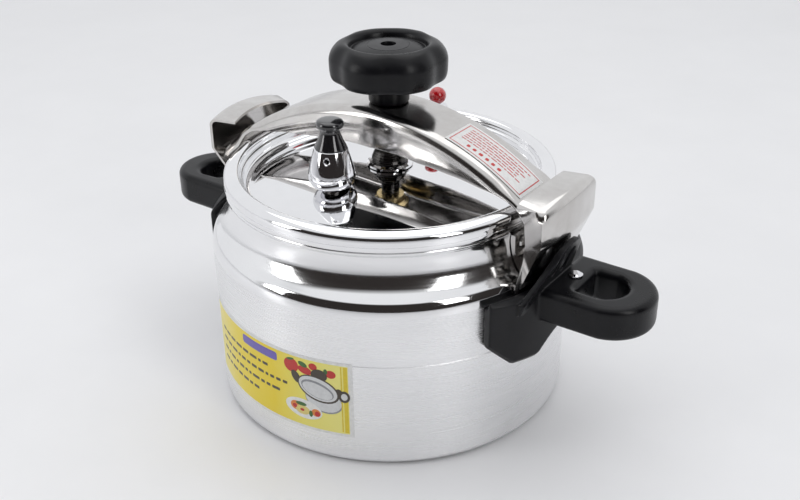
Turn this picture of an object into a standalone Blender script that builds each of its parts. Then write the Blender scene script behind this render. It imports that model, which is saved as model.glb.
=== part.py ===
"""Stove-top pressure cooker with a bow clamp, as separate pieces.

Millimetres are used throughout and scaled to metres when each mesh is made.
The origin is on the pot's axis at its base, +Z up, +X along the bow and the two handles.
Angles about the pot's axis are in degrees and start at +X.
"""
import math

import bmesh
import bpy
from mathutils import Matrix

MM = 0.001
GAP = 0.3                    # between two pieces that touch

# Pot
POT_R = 110.0                # outside of the straight wall
POT_WALL = 2.6
POT_FLOOR = 4.0
SHOULDER_Z = 99.4            # end of the straight wall
MOUTH_R = 95.6               # inside of the rim
RIM_R = 99.9
RIM_Z = 133.2
NECK = [(107.0, 107.5), (106.1, 108.4), (103.4, 111.0), (101.0, 114.5), (99.4, 118.5), (98.4, 123.0),
        (98.1, 127.0), (98.5, 130.0)]
ROUND = 40                   # steps round the pot and the lid

# Lid and gasket
LID_R = 100.3
LID_TOP_Z = 144.4
LID_FLOOR_Z = 133.0          # lowest part of the recessed floor, round its edge
LID_FLOOR_R = 84.5
LID_DOME = 9.0               # rise of the floor at its middle
LID_SHEET = 2.1
BAND_IN_R = 98.4             # inside of the lid's outer band
CHANNEL_R = 93.0             # outside of the wall between dish and gasket channel

# Bow
BOW_R = 165.0                # radius of the arch's top
BOW_CROWN_Z = 182.0
BOW_WIDTH = 42.0
BOW_SHEET = 2.0
BOW_EDGE_R = 6.0
BOW_END_DEG = 47.0
BOW_STATIONS = 20
BOW_DEPTH = [(0, 23.0), (40, 20.5), (60, 16.5), (80, 10.5), (88, 6.6), (96, 3.7), (102, 3.6),
             (110, 6.4), (122, 5.4)]   # distance from the pot's axis, height of the side walls there

# Clamp heads: a hood whose outer plate leans in towards its foot
HEAD_TOP_Z = 157.0
HEAD_R = 125.5               # outside of the upright part of the outer plate
HEAD_KNEE_Z = 133.0          # where the plate starts to lean
HEAD_FOOT_Z = 101.0
HEAD_FOOT_R = 112.6
HEAD_SHEET = 1.8
HEAD_FRONT = -31.0           # closed side, along the arc
HEAD_BACK = 27.0             # open side
WRAP_R = 118.0               # radius at which lengths along the arc are true
LEAN = (HEAD_R - 1.1 - HEAD_FOOT_R) / (HEAD_KNEE_Z - 2.0 - HEAD_FOOT_Z)

# Opening screws the lid up off the ears
LIFT_PER_RAD = 60.0 / math.radians(150.0)
EAR_DEG = (-12.0, 8.0)
EAR_RIVETS_DEG = (-8.0, 4.0)
EAR_RIVET_Z = 124.6
EAR_RIVET_R = 2.5
HEAD_OPEN_DEG = 11.5         # far edge of the head's open side at its foot

# Knob and spindle
KNOB_R = 34.5
KNOB_LOBES = 6
KNOB_NOTCH = 2.4
KNOB_NOTCH_DEG = 5.0
KNOB_STEPS = 36
SPINDLE_R = 6.0

# Valves, x and y on the lid
VENT_XY = (-10.0, -43.5)
VENT_R = 4.0
SIGNAL_XY = (-4.0, 58.0)
SIGNAL_R = 5.0

# Handles
HANDLE_TIP = 175.0
HANDLE_TOP_Z = 104.5
HANDLE_BOTTOM_Z = 84.0
WING_DEG = 27.0
TONGUE_Y = -8.0              # middle of the tongue, off the handle's centre line
TONGUE_TOP_Z = 131.0
TONGUE_THICK = 4.0
SCREW_X = 127.5

# Printed labels
LABEL_DEG = (-128.2, -65.7)
LABEL_Z = (19.0, 69.0)
STICKER_X = (49.0, 98.0)
STICKER_Y = (-15.0, 11.0)


def clear_scene():
    for obj in list(bpy.data.objects):
        bpy.data.objects.remove(obj, do_unlink=True)


def new_collection(name):
    collection = bpy.data.collections.new(name)
    bpy.context.scene.collection.children.link(collection)
    return collection


def material(name, color, roughness, metallic=0.0):
    mat = bpy.data.materials.new(name)
    mat.use_nodes = True
    shader = mat.node_tree.nodes["Principled BSDF"]
    shader.inputs["Base Color"].default_value = (*color, 1.0)
    shader.inputs["Roughness"].default_value = roughness
    shader.inputs["Metallic"].default_value = metallic
    return mat


clear_scene()
PIECES = new_collection("pressure_cooker")
CUTTERS = new_collection("cutters")
ALUMINIUM = material("satin_aluminium", (0.86, 0.86, 0.87), 0.35, 1.0)
POLISHED = material("polished_aluminium", (0.91, 0.91, 0.92), 0.08, 1.0)
STEEL = material("polished_steel", (0.66, 0.64, 0.62), 0.14, 1.0)
CHROME = material("chrome", (0.80, 0.80, 0.82), 0.05, 1.0)
BRASS = material("brass", (0.72, 0.56, 0.28), 0.25, 1.0)
BAKELITE = material("black_bakelite", (0.015, 0.015, 0.017), 0.38)
RUBBER = material("gasket_rubber", (0.30, 0.30, 0.31), 0.60)
RED = material("red_ball", (0.45, 0.01, 0.015), 0.15)
YELLOW = material("label_print", (0.80, 0.62, 0.05), 0.45)
WHITE = material("caution_print", (0.86, 0.83, 0.80), 0.40)


# ---------------------------------------------------------------- helpers

def place(name, mesh, mat, at=(0, 0, 0), collection=PIECES):
    obj = bpy.data.objects.new(name, mesh)
    obj.location = [value * MM for value in at]
    collection.objects.link(obj)
    if collection is CUTTERS:
        obj.hide_render = True
        obj.display_type = "WIRE"
    else:
        mesh.materials.append(mat)
    return obj


def from_bmesh(name, bm, mat, at=(0, 0, 0), collection=PIECES):
    bm.normal_update()
    if bm.calc_volume(signed=True) < 0:
        bmesh.ops.reverse_faces(bm, faces=bm.faces)
    bm.transform(Matrix.Scale(MM, 4))
    mesh = bpy.data.meshes.new(name)
    bm.to_mesh(mesh)
    bm.free()
    mesh.shade_smooth()
    mesh.set_sharp_from_angle(angle=math.radians(35))
    return place(name, mesh, mat, at, collection)


def turned(name, profile, mat, at=(0, 0, 0), steps=24, ring=False):
    """Turns (radius, z) points about Z; the profile starts at the top and runs down its outside."""
    bm = bmesh.new()
    verts = [bm.verts.new((radius, 0.0, z)) for radius, z in profile]
    for first, second in zip(verts, verts[1:]):
        bm.edges.new((first, second))
    if ring:
        bm.edges.new((verts[-1], verts[0]))
    bm.transform(Matrix.Scale(MM, 4))
    mesh = bpy.data.meshes.new(name)
    bm.to_mesh(mesh)
    bm.free()
    obj = place(name, mesh, mat, at)
    screw = obj.modifiers.new("turn", "SCREW")
    screw.axis = "Z"
    screw.steps = screw.render_steps = steps
    screw.use_merge_vertices = True
    screw.merge_threshold = 0.00001
    return obj


def loft(name, sections, mat, collection=PIECES, closed=False):
    """Skins a list of sections, each a list of (x, y, z) with the same number of points."""
    bm = bmesh.new()
    rings = [[bm.verts.new(point) for point in section] for section in sections]
    pairs = list(zip(rings, rings[1:]))
    if closed:
        pairs.append((rings[-1], rings[0]))
    for first, second in pairs:
        for i in range(len(first)):
            j = (i + 1) % len(first)
            bm.faces.new((first[i], first[j], second[j], second[i]))
    if not closed:
        bm.faces.new(rings[0][::-1])
        bm.faces.new(rings[-1])
    return from_bmesh(name, bm, mat, collection=collection)


def polar(radius, degrees, z):
    angle = math.radians(degrees)
    return (radius * math.cos(angle), radius * math.sin(angle), z)


def sector(name, profile_at, start, end, steps, mat, collection=PIECES):
    """Sweeps a closed (radius, z) profile about Z; profile_at(degrees) gives it at each angle."""
    angles = [start + (end - start) * i / steps for i in range(steps + 1)]
    sections = [[polar(radius, deg, z) for radius, z in profile_at(deg)] for deg in angles]
    return loft(name, sections, mat, collection)


def cylinder(name, radius, low, high, at=(0, 0), mat=None, steps=24, collection=CUTTERS):
    bm = bmesh.new()
    bmesh.ops.create_cone(bm, cap_ends=True, segments=steps, radius1=radius, radius2=radius,
                          depth=high - low, matrix=Matrix.Translation((0, 0, (high + low) / 2)))
    return from_bmesh(name, bm, mat, (*at, 0), collection)


def radial_cylinder(name, radius, low, high, degrees, z, mat=None, collection=CUTTERS, at=(0, 0)):
    """A cylinder whose axis runs outwards from Z, between two distances from it."""
    bm = bmesh.new()
    turn = Matrix.Rotation(math.radians(degrees), 4, "Z") @ Matrix.Rotation(math.pi / 2, 4, "Y")
    bmesh.ops.create_cone(bm, cap_ends=True, segments=16, radius1=radius, radius2=radius,
                          depth=high - low, matrix=Matrix.Translation((0, 0, (high + low) / 2)))
    bm.transform(turn)
    return from_bmesh(name, bm, mat, (*at, z), collection)


def boolean(obj, other, operation="DIFFERENCE"):
    modifier = obj.modifiers.new(operation.lower(), "BOOLEAN")
    modifier.operation = operation
    modifier.object = other
    modifier.solver = "EXACT"


def arc(centre, radius, start, end, steps):
    """Points on an arc in a profile, from one angle in degrees to another."""
    points = []
    for i in range(steps + 1):
        angle = math.radians(start + (end - start) * i / steps)
        points.append((centre[0] + radius * math.cos(angle), centre[1] + radius * math.sin(angle)))
    return points


def half_turned_copy(obj, name):
    """The same piece on the other side of the pot."""
    copy = bpy.data.objects.new(name, obj.data)
    copy.rotation_euler.z = math.pi
    PIECES.objects.link(copy)
    for source in obj.modifiers:
        boolean(copy, half_turned_cutter(source.object), source.operation)
    return copy


def half_turned_cutter(cutter):
    copy = bpy.data.objects.new(cutter.name + "_left", cutter.data)
    copy.matrix_world = Matrix.Rotation(math.pi, 4, "Z") @ cutter.matrix_basis
    CUTTERS.objects.link(copy)
    copy.hide_render = True
    copy.display_type = "WIRE"
    for source in cutter.modifiers:
        boolean(copy, half_turned_cutter(source.object), source.operation)
    return copy


# ---------------------------------------------------------------- pot

def make_pot():
    shoulder = [(107.9, 106.5), (109.2, 103.4), (109.9, 100.6), (POT_R, SHOULDER_Z)]
    inner = [(0, POT_FLOOR), (103.0, POT_FLOOR), (106.2, 5.6), (POT_R - POT_WALL, 9.0),
             (POT_R - POT_WALL, SHOULDER_Z), (104.6, 106.0), (100.9, 110.0), (98.3, 113.5), (96.6, 118.0),
             (95.7, 123.0), (95.5, 130.0), (MOUTH_R, RIM_Z)]
    outer = [(RIM_R - 0.3, RIM_Z), (RIM_R, RIM_Z - 0.4), (RIM_R - 0.2, 131.4)]
    foot = [(POT_R, 68.2), (POT_R - 0.15, 68.0), (POT_R, 67.8), (POT_R, 6.0), (109.6, 3.2), (108.2, 1.0),
            (105.5, 0.0), (0, 0.0)]
    pot = turned("pot_body", inner + outer + NECK[::-1] + shoulder + foot, ALUMINIUM, steps=ROUND)
    for side in (0, 180):
        for deg in EAR_RIVETS_DEG:
            boolean(pot, radial_cylinder(f"rivet_hole_{side}_{deg}", EAR_RIVET_R + GAP, 85, 112,
                                         side + deg, EAR_RIVET_Z))
    return pot


def ear_profile(deg):
    """A riveted foot that follows the neck, and a nose that the clamp head's plate hooks under.

    The nose stands back as the angle falls, by as much as the leaning plate closes in on it
    while the head turns past and climbs.
    """
    setback = 0.5 + LIFT_PER_RAD * LEAN * math.radians(HEAD_OPEN_DEG - deg)
    plate_in = HEAD_FOOT_R - HEAD_SHEET - 0.1
    low_r = plate_in + LEAN * (109.0 - HEAD_FOOT_Z) - setback
    high_r = plate_in + LEAN * (117.5 - HEAD_FOOT_Z) - setback
    neck_side = [(98.8, 129.8), (98.5, 127.0), (99.0, 123.0), (100.1, 118.5), (101.7, 114.5),
                 (104.2, 111.2), (106.7, 109.0)]
    return neck_side + [(low_r - 0.6, 109.0), (low_r, 109.6), (high_r, 117.0), (high_r - 0.8, 117.9),
                        (103.8, 118.4), (102.0, 120.0), (101.8, 129.8)]


def make_ears():
    ear = sector("ear_right", ear_profile, EAR_DEG[0], EAR_DEG[1], 6, STEEL)
    for deg in EAR_RIVETS_DEG:
        boolean(ear, radial_cylinder(f"ear_hole_{deg}", EAR_RIVET_R + GAP, 85, 112, deg, EAR_RIVET_Z))
    half_turned_copy(ear, "ear_left")
    rivet = [(0, 104.8), (2.0, 104.5), (3.7, 103.4), (4.0, 102.2), (EAR_RIVET_R, 102.2),
             (EAR_RIVET_R, 94.7), (4.2, 94.7), (3.8, 93.8), (0, 93.4)]
    for side, side_name in ((0, "right"), (180, "left")):
        for deg, end_name in zip(EAR_RIVETS_DEG, ("front", "back")):
            obj = turned(f"ear_rivet_{side_name}_{end_name}", rivet, STEEL, (0, 0, EAR_RIVET_Z), 10)
            obj.rotation_euler = (0, math.pi / 2, math.radians(side + deg))


def make_label():
    profile = [(POT_R + GAP, LABEL_Z[0]), (POT_R + GAP + 0.25, LABEL_Z[0]),
               (POT_R + GAP + 0.25, LABEL_Z[1]), (POT_R + GAP, LABEL_Z[1])]
    sector("body_label", lambda deg: profile, LABEL_DEG[0], LABEL_DEG[1], 16, YELLOW)


# ---------------------------------------------------------------- handles

def wing_profile(deg):
    """Section of the part of a handle that hugs the pot, at an angle from its centre line."""
    share = abs(deg) / WING_DEG
    outer = 124.0 - 7.5 * share ** 1.5
    low = 60.0 + 14.0 * max(0.0, 1.0 - (share / 0.42) ** 2) + 14.0 * max(0.0, share - 0.72) / 0.28
    inner = POT_R + GAP + 0.1
    return [(inner, low + 1.5), (inner + 1.2, low), (outer - 2.5, low), (outer, low + 3.0), (outer, 100.5),
            (max(outer - 2.2, 115.4), 103.0), (114.8, 103.0), (113.2, 98.5), (inner, 98.2)]


def loop_outline(spline, points):
    spline.points.add(len(points) - 1)
    for point, (x, y) in zip(spline.points, points):
        point.co = (x * MM, y * MM, 0, 1)
    spline.use_cyclic_u = True


def make_loop(name):
    """The finger loop: a flat outline with a hole, its edges rounded."""
    edge = 4.0
    outer = [(121.5, 22)] + arc((HANDLE_TIP - edge - 22.0, 0), 22.0, 80, -80, 14) + [(121.5, -22)]
    hole = arc((144, 0), 18.0, 80, -80, 12)
    hole += arc((136, -11), 6.0, -100, -180, 3) + arc((136, 11), 6.0, 180, 100, 3)
    curve = bpy.data.curves.new(name, "CURVE")
    curve.dimensions = "2D"
    curve.fill_mode = "BOTH"
    curve.extrude = ((HANDLE_TOP_Z - HANDLE_BOTTOM_Z) / 2 - edge) * MM
    curve.bevel_depth = edge * MM
    curve.bevel_resolution = 2
    loop_outline(curve.splines.new("POLY"), outer)
    loop_outline(curve.splines.new("POLY"), hole)
    guide = bpy.data.objects.new(name + "_guide", curve)
    guide.location.z = (HANDLE_TOP_Z + HANDLE_BOTTOM_Z) / 2 * MM
    CUTTERS.objects.link(guide)
    bpy.context.view_layer.update()
    graph = bpy.context.evaluated_depsgraph_get()
    mesh = bpy.data.meshes.new_from_object(guide.evaluated_get(graph))
    mesh.transform(guide.matrix_world)
    bpy.data.objects.remove(guide)
    bm = bmesh.new()
    bm.from_mesh(mesh)
    bmesh.ops.remove_doubles(bm, verts=bm.verts, dist=0.00001)
    bmesh.ops.recalc_face_normals(bm, faces=bm.faces)
    bm.to_mesh(mesh)
    bm.free()
    return place(name, mesh, None, collection=CUTTERS)


def tongue_x(z):
    """Inside of the tongue, clear of the clamp head's plate in front of it."""
    return HEAD_FOOT_R + LEAN * (z - HEAD_FOOT_Z) + 1.4


def slanted_prism(name, outline, inside, outside):
    """A plate that leans like the clamp head: outline is (y, z), thickness is along x."""
    sections = [[(tongue_x(z) + offset, y, z) for y, z in outline] for offset in (inside, outside)]
    return loft(name, sections, None, CUTTERS)


def slot_outline(y, low, high, radius):
    return arc((y, high), radius, 0, 180, 6) + arc((y, low), radius, 180, 360, 6)


def make_tongue():
    top = arc((TONGUE_Y, TONGUE_TOP_Z - 15.0), 15.0, 20, 150, 10)
    outline = [(11, 93), (11, 104)] + top + [(-36, 105), (-40, 100), (-40, 93)]
    tongue = slanted_prism("tongue", outline, 0, TONGUE_THICK)
    for name, y, low in (("inner_window", -4.5, 111.0), ("outer_window", -16.5, 113.0)):
        boolean(tongue, slanted_prism(name, slot_outline(y, low, 122.0, 2.6), -3, TONGUE_THICK + 3))
    return tongue


def bracket_profile(extra):
    inner = POT_R + GAP
    return [(inner - 3 * extra, 66 - extra), (inner + 2.2 + extra, 66 - extra),
            (inner + 2.2 + extra, 88 - extra), (132 + extra, 88 - extra), (132 + extra, 90.5 + extra),
            (inner - 3 * extra, 90.5 + extra)]


def make_handles():
    handle = sector("handle_right", wing_profile, -WING_DEG, WING_DEG, 18, BAKELITE)
    boolean(handle, make_loop("loop"), "UNION")
    boolean(handle, make_tongue(), "UNION")
    boolean(handle, sector("bracket_recess", lambda deg: bracket_profile(GAP), -4.3, 4.3, 2, None,
                           CUTTERS))
    boolean(handle, cylinder("screw_hole", 2.2 + GAP, 80, 110, (SCREW_X, 0), steps=16))
    half_turned_copy(handle, "handle_left")
    bracket = sector("handle_bracket_right", lambda deg: bracket_profile(0), -4, 4, 2, STEEL)
    boolean(bracket, cylinder("bracket_hole", 2.2 + GAP, 80, 95, (SCREW_X, 0), steps=16))
    half_turned_copy(bracket, "handle_bracket_left")
    head_z = HANDLE_TOP_Z + GAP
    screw = [(0, head_z + 1.6), (2.6, head_z + 1.6), (4.0, head_z + 0.8), (4.2, head_z), (2.2, head_z),
             (2.2, 86.5), (0, 86.0)]
    turned("handle_screw_right", screw, CHROME, (SCREW_X, 0, 0), 16)
    turned("handle_screw_left", screw, CHROME, (-SCREW_X, 0, 0), 16)


# ---------------------------------------------------------------- lid

def make_gasket():
    low, high = RIM_Z + GAP, 141.2
    inner, outer = CHANNEL_R + 2 * GAP, BAND_IN_R - 2 * GAP
    profile = [(inner + 0.8, high), (outer - 0.8, high), (outer, high - 0.8), (outer, low + 0.6),
               (outer - 0.6, low), (MOUTH_R + 0.4, low), (inner, low + 1.6), (inner, high - 0.8)]
    turned("lid_gasket", profile, RUBBER, steps=ROUND, ring=True)


def floor_z(radius):
    """Top of the lid's domed floor at a distance from its middle."""
    return LID_FLOOR_Z + LID_DOME * (1.0 - (radius / LID_FLOOR_R) ** 2)


def make_lid():
    radii = [LID_FLOOR_R * i / 6 for i in range(7)]
    dome = [(radius, floor_z(radius)) for radius in radii]
    dome_under = [(radius, floor_z(radius) - LID_SHEET) for radius in reversed(radii)]
    dish = dome + [(87.4, 133.8), (88.6, 135.6), (88.9, 138.4), (90.2, 139.4), (90.7, 142.6),
                   (91.6, 143.9)]
    crown = [(93.2, LID_TOP_Z), (95.6, 144.2), (98.0, 143.4), (99.6, 142.1), (LID_R, 140.4)]
    band = [(LID_R, RIM_Z + 0.4), (BAND_IN_R, RIM_Z + 0.4), (BAND_IN_R, 140.6), (97.4, 141.7),
            (95.4, 142.2), (93.8, 141.8), (CHANNEL_R, 140.8)]
    wall_under = [(CHANNEL_R, 139.0), (91.2, 137.6), (90.9, 134.4), (89.0, 131.8)]
    lid = turned("lid", dish + crown + band + wall_under + dome_under, POLISHED, steps=ROUND)
    boolean(lid, cylinder("vent_hole", VENT_R + GAP, 125, 145, VENT_XY))
    boolean(lid, cylinder("signal_hole", SIGNAL_R + GAP, 125, 145, SIGNAL_XY))
    low = floor_z(0) + GAP
    turned("lid_centre_boss", [(0, low + 2.3), (12.6, low + 2.3), (14.0, low + 1.2), (14.0, low),
                               (0, low)], POLISHED, steps=32)
    low += 2.3 + GAP
    turned("pressure_foot", [(0, low + 2.7), (4.4, low + 2.7), (4.4, low + 8.1), (7.4, low + 8.1),
                             (9.0, low + 6.7), (11.0, low + 2.1), (11.0, low), (0, low)], STEEL)


def hex_nut(name, across, bore, low, high, at, mat):
    """A nut: six-sided block with a round hole."""
    bm = bmesh.new()
    radius = across / math.sqrt(3)
    bmesh.ops.create_cone(bm, cap_ends=True, segments=6, radius1=radius, radius2=radius,
                          depth=high - low, matrix=Matrix.Translation((0, 0, (high + low) / 2)))
    nut = from_bmesh(name, bm, mat, (*at, 0))
    boolean(nut, cylinder(name + "_bore", bore, low - 2, high + 2, at, steps=20))
    return nut


def tilt_room(place, radius):
    """How far the dome rises or falls across a flat piece, plus the gap."""
    return 2 * LID_DOME * math.hypot(*place) * radius / LID_FLOOR_R ** 2 + GAP


def make_vent():
    at_z = floor_z(math.hypot(*VENT_XY))
    collar_z = at_z + tilt_room(VENT_XY, 5.6)
    nut_z = at_z - LID_SHEET - tilt_room(VENT_XY, 7.5)
    pipe = [(1.5, 154.0), (3.2, 154.0), (VENT_R, 152.6), (VENT_R, collar_z + 1.0), (5.6, collar_z + 1.0),
            (5.6, collar_z), (VENT_R, collar_z), (VENT_R, 125.0), (1.5, 125.0)]
    turned("vent_pipe", pipe, STEEL, (*VENT_XY, 0), 20, ring=True)
    hex_nut("vent_lock_nut", 13.0, VENT_R + GAP, nut_z - 4.5, nut_z, VENT_XY, STEEL)


def make_weight():
    body = [(0, 165.0), (9.5, 165.0), (9.9, 164.4), (11.8, 157.5), (13.3, 151.5), (13.8, 147.8),
            (13.5, 145.4), (12.2, 143.0), (9.6, 141.2), (8.6, 141.0), (6.2, 141.0), (6.2, 143.0),
            (5.0, 144.2), (5.0, 161.5), (0, 161.5)]
    weight = turned("weight_body", body, CHROME, (*VENT_XY, 0), 32)
    boolean(weight, radial_cylinder("weight_hole", 1.7, 2, 20, -65, 160.2, at=VENT_XY))
    cap = [(0, 182.0), (5.6, 181.9), (7.6, 180.9), (8.1, 179.3), (7.6, 177.7), (6.0, 176.8), (6.1, 174.0),
           (7.3, 170.0), (9.3, 166.2), (9.4, 165.3), (0, 165.3)]
    turned("weight_cap", cap, BAKELITE, (*VENT_XY, 0), 28)
    needle = [(0, 161.2), (3.2, 161.2), (3.2, 158.6), (1.6, 157.4), (0.5, 154.4), (0, 154.3)]
    turned("weight_needle", needle, STEEL, (*VENT_XY, 0), 14)


def dome_cutter(name):
    """The space up to the gap above the lid's floor."""
    profile = [(LID_FLOOR_R * i / 12, floor_z(LID_FLOOR_R * i / 12) + GAP) for i in range(13)]
    cutter = turned(name, profile + [(LID_FLOOR_R, 120.0), (0, 120.0)], None, steps=ROUND)
    PIECES.objects.unlink(cutter)
    CUTTERS.objects.link(cutter)
    cutter.data.materials.clear()
    cutter.hide_render = True
    cutter.display_type = "WIRE"
    return cutter


def make_signal():
    at_z = floor_z(math.hypot(*SIGNAL_XY))
    washer_z = at_z + tilt_room(SIGNAL_XY, 8.2) + 1.6
    under_z = at_z - LID_SHEET - tilt_room(SIGNAL_XY, 9.0)
    washer = turned("signal_washer", [(SIGNAL_R + GAP, washer_z), (7.8, washer_z), (8.2, washer_z - 0.4),
                                      (8.2, at_z - 3.0), (SIGNAL_R + GAP, at_z - 3.0)], CHROME,
                    (*SIGNAL_XY, 0), 24, ring=True)
    boolean(washer, dome_cutter("dome"))
    flange_z = washer_z + GAP
    housing = [(2.4, 158.2), (4.6, 158.2), (5.4, 156.8), (5.4, flange_z + 3.2), (8.2, flange_z + 2.2),
               (8.2, flange_z), (SIGNAL_R, flange_z), (SIGNAL_R, 124.2), (2.4, 124.2)]
    turned("signal_housing", housing, CHROME, (*SIGNAL_XY, 0), 24, ring=True)
    turned("signal_seal", [(SIGNAL_R + GAP, under_z), (9.0, under_z), (9.0, under_z - 1.5),
                           (SIGNAL_R + GAP, under_z - 1.5)], RUBBER, (*SIGNAL_XY, 0), 24, ring=True)
    nut_z = under_z - 1.5 - GAP
    hex_nut("signal_lock_nut", 16.0, SIGNAL_R + GAP, nut_z - 3.5, nut_z, SIGNAL_XY, STEEL)
    pin = [(0, 161.0), (5.4, 161.0), (6.3, 160.2), (6.3, 159.4), (4.6, 158.5), (2.0, 158.5), (2.0, 117.4),
           (0, 117.0)]
    turned("signal_pin", pin, CHROME, (*SIGNAL_XY, 0), 24)
    turned("signal_clip", [(2.3, 119.6), (4.4, 119.6), (4.4, 118.4), (2.3, 118.4)], STEEL,
           (*SIGNAL_XY, 0), 20, ring=True)
    bm = bmesh.new()
    bmesh.ops.create_uvsphere(bm, u_segments=20, v_segments=12, radius=5.5)
    from_bmesh("signal_ball", bm, RED, (*SIGNAL_XY, 166.9))


# ---------------------------------------------------------------- bow and clamp heads

def bow_depth(x):
    for (x0, d0), (x1, d1) in zip(BOW_DEPTH, BOW_DEPTH[1:]):
        if abs(x) <= x1:
            return d0 + (d1 - d0) * (abs(x) - x0) / (x1 - x0)
    return BOW_DEPTH[-1][1]


def bow_section(deg):
    """Inverted channel, square to the arch at an angle from its crown."""
    angle = math.radians(deg)
    depth = bow_depth(BOW_R * math.sin(angle))
    half, sheet = BOW_WIDTH / 2, BOW_SHEET
    edge = min(BOW_EDGE_R, depth - 0.4)
    right = arc((half - edge, -edge), edge, 90, 0, 4)
    inside = arc((half - edge, -edge), edge - sheet, 0, 90, 3)
    outline = right + [(half, -depth), (half - sheet, -depth)] + inside
    outline += [(-y, down) for y, down in reversed(outline)]
    points = []
    for y, down in outline:
        radius = BOW_R + down
        points.append((radius * math.sin(angle), y, BOW_CROWN_Z - BOW_R + radius * math.cos(angle)))
    return points


def make_bow():
    angles = [BOW_END_DEG * (2 * i / BOW_STATIONS - 1) for i in range(BOW_STATIONS + 1)]
    bow = loft("bow", [bow_section(deg) for deg in angles], STEEL)
    boolean(bow, cylinder("bush_hole", 8.0 + GAP, 170, 190))
    under = BOW_CROWN_Z - BOW_SHEET - GAP
    turned("bow_bush", [(SPINDLE_R + GAP, BOW_CROWN_Z - 0.3), (8.0, BOW_CROWN_Z - 0.3), (8.0, under - 0.3),
                        (13.0, under - 0.3), (13.0, under - 4.0), (9.5, under - 5.0), (9.5, 168.0),
                        (SPINDLE_R + GAP, 168.0)], BRASS, steps=28, ring=True)


def make_sticker():
    """A printed strip that lies on the arch's top."""
    sections = []
    for i in range(9):
        x = STICKER_X[0] + (STICKER_X[1] - STICKER_X[0]) * i / 8
        angle = math.asin(x / BOW_R)
        corners = [(0.3, STICKER_Y[0]), (0.3, STICKER_Y[1]), (0.5, STICKER_Y[1]), (0.5, STICKER_Y[0])]
        sections.append([((BOW_R + up) * math.sin(angle), y,
                          BOW_CROWN_Z - BOW_R + (BOW_R + up) * math.cos(angle)) for up, y in corners])
    loft("caution_sticker", sections, WHITE)


def flat_block(name, outline, start, end, steps, edge):
    """A prism in unrolled form: x is the radius, y runs along the arc, with its start edge rounded."""
    bm = bmesh.new()
    rings = []
    for i in range(steps + 1):
        y = start + (end - start) * i / steps
        rings.append([bm.verts.new((radius, y, z)) for radius, z in outline])
    for first, second in zip(rings, rings[1:]):
        for i in range(len(outline)):
            j = (i + 1) % len(outline)
            bm.faces.new((first[i], first[j], second[j], second[i]))
    front = bm.faces.new(rings[0][::-1])
    bm.faces.new(rings[-1])
    if edge:
        bmesh.ops.bevel(bm, geom=list(front.edges), offset=edge, segments=3, profile=0.5,
                        affect="EDGES", clamp_overlap=True)
    return from_bmesh(name, bm, None, collection=CUTTERS)


def head_outline(inset):
    """Side view of a head: top plate, rounded corner, upright plate and leaning foot."""
    top = HEAD_TOP_Z - inset
    out = HEAD_R - inset
    corner = arc((HEAD_R - 5.5, HEAD_TOP_Z - 5.5), 5.5 - inset, 90, 0, 4)
    low_z = 94.0 if inset == 0 else 90.0
    low_r = HEAD_FOOT_R - inset - 0.1 * (inset > 0) + LEAN * (low_z - HEAD_FOOT_Z)
    in_r = 94.0 if inset == 0 else 88.0
    return [(in_r, top)] + corner + [(out, HEAD_KNEE_Z + 1.5), (out - 1.1, HEAD_KNEE_Z - 2.0),
                                     (low_r, low_z), (in_r, low_z)]


def wrap_head(mesh):
    """Rolls the flat head round the pot, spreads its closed side and tapers its open side."""
    for vert in mesh.vertices:
        radius, along, z = (value / MM for value in vert.co)
        down = min(1.0, max(0.0, (HEAD_KNEE_Z - z) / (HEAD_KNEE_Z - HEAD_FOOT_Z)))
        up = min(1.0, max(0.0, (z - HEAD_KNEE_Z) / (HEAD_TOP_Z - HEAD_KNEE_Z)))
        along *= 1.0 - 0.40 * down if along > 0 else 1.0 + 0.10 * down
        z -= 3.5 * up * (along / 28.0) ** 2
        angle = along / WRAP_R
        vert.co = (radius * math.cos(angle) * MM, radius * math.sin(angle) * MM, z * MM)


def make_heads():
    block = flat_block("head_block", head_outline(0), HEAD_FRONT, HEAD_BACK + 9.0, 11, 4.5)
    hollow = flat_block("head_hollow", head_outline(HEAD_SHEET), HEAD_FRONT + HEAD_SHEET, HEAD_BACK + 18.0,
                        12, 3.0)
    free_edge = [(80, 165), (106.5, 165), (106.5, 152.5), (112.6, 147), (114.4, 131),
                 (HEAD_FOOT_R - 2.1, 101), (140, HEAD_FOOT_Z), (140, 88), (80, 88)]
    trim = flat_block("head_trim", free_edge, HEAD_FRONT - 12, HEAD_BACK + 22, 1, 0)
    past_end = [(80, 170), (140, 170), (140, 80), (80, 80)]
    end = flat_block("head_end", past_end, HEAD_BACK, HEAD_BACK + 30, 1, 0)
    for cutter in (hollow, trim, end):
        boolean(block, cutter)
    bpy.context.view_layer.update()
    graph = bpy.context.evaluated_depsgraph_get()
    mesh = bpy.data.meshes.new_from_object(block.evaluated_get(graph))
    bm = bmesh.new()
    bm.from_mesh(mesh)
    bmesh.ops.triangulate(bm, faces=bm.faces)
    bm.to_mesh(mesh)
    bm.free()
    wrap_head(mesh)
    mesh.shade_smooth()
    mesh.set_sharp_from_angle(angle=math.radians(35))
    head = place("clamp_head_right", mesh, STEEL)
    half_turned_copy(head, "clamp_head_left")


# ---------------------------------------------------------------- knob and spindle

def knob_ring(radius, z, depth):
    """One level of the knob; depth is how far the finger notches cut in."""
    points = []
    for i in range(KNOB_STEPS):
        angle = 2 * math.pi * i / KNOB_STEPS
        wave = (1 + math.cos(KNOB_LOBES * (angle - math.radians(KNOB_NOTCH_DEG)))) / 2
        r = radius - depth * wave ** 2
        points.append((r * math.cos(angle), r * math.sin(angle), z))
    return points


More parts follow.
